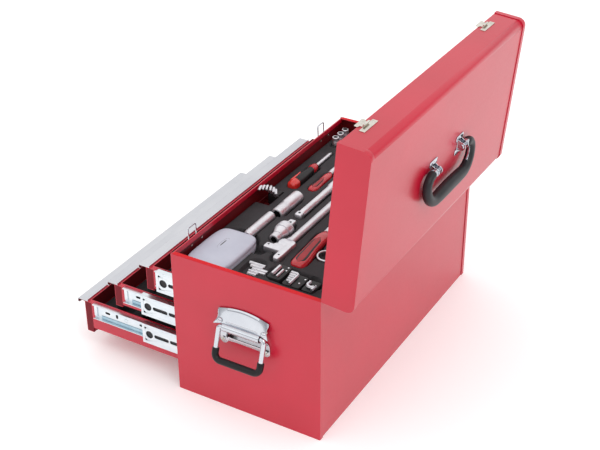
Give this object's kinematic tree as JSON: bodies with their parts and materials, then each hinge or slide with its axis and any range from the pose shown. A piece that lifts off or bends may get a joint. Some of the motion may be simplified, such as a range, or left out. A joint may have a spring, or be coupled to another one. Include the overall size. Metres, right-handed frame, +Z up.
{
  "type": "portable tool chest",
  "caption": "Portable red steel tool chest with an open hinged lid, draw latches, carry and side handles, a lift-out foam tray of hand tools and drawers on telescopic slides.",
  "frame": {"origin": "middle of the chest's underside in plan, at ground height", "axes": "+X towards the right-hand end seen from the front, -Y out of the front, where the drawers pull out, +Z up"},
  "size_m": [0.5706, 0.5258, 0.4919],
  "materials": {
    "red_enamel": "gloss red enamel with a slight orange peel",
    "inner_red": "satin dark red enamel",
    "zinc": "blue-bright zinc plate, satin",
    "chrome": "bright nickel chrome",
    "aluminium": "satin anodised, drawn along its length",
    "black_plastic": "fine matt grain",
    "foam": "matt closed-cell foam",
    "liner": "matt ribbed mat",
    "grey_plastic": "satin lavender grey",
    "tool_grip": "gloss red with black inlays",
    "tool_steel": "satin chrome vanadium"
  },
  "bodies": {
    "case": {"case_wrap": "red_enamel", "case_end_right": "red_enamel", "case_end_left": "red_enamel", "front_header": "red_enamel", "compartment_floor": "inner_red", "case_rivets": "zinc", "handle_plate_right": "chrome", "handle_plate_left": "chrome", "latch_base_right": "zinc", "latch_base_left": "zinc", "hinge_leaf_case": "zinc", "hinge_pin": "zinc", "slide_outer_bottom": "zinc", "slide_outer_middle": "zinc", "slide_outer_top": "zinc", "stay_bracket_case": "zinc"},
    "lid": {"lid_wrap": "red_enamel", "lid_end_right": "red_enamel", "lid_end_left": "red_enamel", "latch_keepers": "zinc", "carry_brackets": "chrome", "hinge_leaf_lid": "zinc", "stay_bracket_lid": "zinc"},
    "lid_stay": {"stay_link": "zinc"},
    "carry_handle": {"carry_core": "chrome", "carry_grip": "black_plastic"},
    "side_handle_right": {"side_bail_right": "chrome", "side_grip_right": "black_plastic"},
    "side_handle_left": {"side_bail_left": "chrome", "side_grip_left": "black_plastic"},
    "lever_right": {"latch_lever_right": "zinc"},
    "lever_left": {"latch_lever_left": "zinc"},
    "loop_right": {"latch_bail_right": "zinc"},
    "loop_left": {"latch_bail_left": "zinc"},
    "tray": {"foam_tray": "foam", "accessory_case": "grey_plastic", "ratchet_large": "tool_grip", "ratchet_small": "tool_grip", "screwdriver": "tool_grip", "drive_tools": "tool_steel", "small_tools": "tool_steel"},
    "drawer_bottom": {"drawer_box_bottom": "inner_red", "drawer_front_bottom": "red_enamel", "drawer_pull_bottom": "aluminium", "drawer_liner_bottom": "liner", "slide_inner_bottom": "zinc"},
    "slide_mid_bottom": {"slide_mid_bottom": "zinc"},
    "drawer_middle": {"drawer_box_middle": "inner_red", "drawer_front_middle": "red_enamel", "drawer_pull_middle": "aluminium", "drawer_liner_middle": "liner", "slide_inner_middle": "zinc"},
    "slide_mid_middle": {"slide_mid_middle": "zinc"},
    "drawer_top": {"drawer_box_top": "inner_red", "drawer_front_top": "red_enamel", "drawer_pull_top": "aluminium", "drawer_liner_top": "liner", "slide_inner_top": "zinc"},
    "slide_mid_top": {"slide_mid_top": "zinc"}
  },
  "joints": [
    {"name": "lid_hinge", "type": "hinge", "parent": "case", "child": "lid", "pos_m": [0, 0.1235, 0.243], "axis": [-1, 0, 0], "range_deg": [-95, 0]},
    {"name": "lid_stay_pivot", "type": "hinge", "parent": "case", "child": "lid_stay", "pos_m": [-0.2462, 0.09946, 0.21896], "axis": [-1, 0, 0], "range_deg": [-47.5, 0]},
    {"name": "carry_handle_hinge", "type": "hinge", "parent": "lid", "child": "carry_handle", "pos_m": [0, 0.19098, 0.36257], "axis": [1, 0, 0], "range_deg": [-3.5, 165]},
    {"name": "side_handle_right_hinge", "type": "hinge", "parent": "case", "child": "side_handle_right", "pos_m": [0.264, 0, 0.153], "axis": [0, -1, 0], "range_deg": [0, 72]},
    {"name": "side_handle_left_hinge", "type": "hinge", "parent": "case", "child": "side_handle_left", "pos_m": [-0.264, 0, 0.153], "axis": [0, 1, 0], "range_deg": [0, 72]},
    {"name": "latch_lever_right_hinge", "type": "hinge", "parent": "case", "child": "lever_right", "pos_m": [0.192, -0.1275, 0.227], "axis": [-1, 0, 0], "range_deg": [0, 105]},
    {"name": "latch_loop_right_hinge", "type": "hinge", "parent": "lever_right", "child": "loop_right", "pos_m": [0.192, -0.1275, 0.216], "axis": [1, 0, 0], "range_deg": [0, 158]},
    {"name": "latch_lever_left_hinge", "type": "hinge", "parent": "case", "child": "lever_left", "pos_m": [-0.192, -0.1275, 0.227], "axis": [-1, 0, 0], "range_deg": [0, 105]},
    {"name": "latch_loop_left_hinge", "type": "hinge", "parent": "lever_left", "child": "loop_left", "pos_m": [-0.192, -0.1275, 0.216], "axis": [1, 0, 0], "range_deg": [0, 158]},
    {"name": "drawer_bottom_slide", "type": "slide", "parent": "case", "child": "drawer_bottom", "axis": [0, -1, 0], "range_m": [-0.19, 0.002]},
    {"name": "slide_mid_bottom_travel", "type": "slide", "parent": "case", "child": "slide_mid_bottom", "axis": [0, -1, 0], "range_m": [-0.08, 0.001]},
    {"name": "drawer_middle_slide", "type": "slide", "parent": "case", "child": "drawer_middle", "axis": [0, -1, 0], "range_m": [-0.126, 0.065]},
    {"name": "slide_mid_middle_travel", "type": "slide", "parent": "case", "child": "slide_mid_middle", "axis": [0, -1, 0], "range_m": [-0.079, 0.041]},
    {"name": "drawer_top_slide", "type": "slide", "parent": "case", "child": "drawer_top", "axis": [0, -1, 0], "range_m": [-0.062, 0.13]},
    {"name": "slide_mid_top_travel", "type": "slide", "parent": "case", "child": "slide_mid_top", "axis": [0, -1, 0], "range_m": [-0.046, 0.097]},
    {"name": "tray_lift", "type": "slide", "parent": "case", "child": "tray", "axis": [0, 0, 1], "range_m": [0, 0.25]}
  ],
  "couplings": [
    {"joint": "lid_stay_pivot", "follows": "lid_hinge", "ratio": 0.5},
    {"joint": "latch_loop_right_hinge", "follows": "latch_lever_right_hinge", "ratio": 1.5},
    {"joint": "latch_loop_left_hinge", "follows": "latch_lever_left_hinge", "ratio": 1.5},
    {"joint": "slide_mid_bottom_travel", "follows": "drawer_bottom_slide", "ratio": 0.42},
    {"joint": "slide_mid_middle_travel", "follows": "drawer_middle_slide", "ratio": 0.62},
    {"joint": "slide_mid_top_travel", "follows": "drawer_top_slide", "ratio": 0.74}
  ]
}
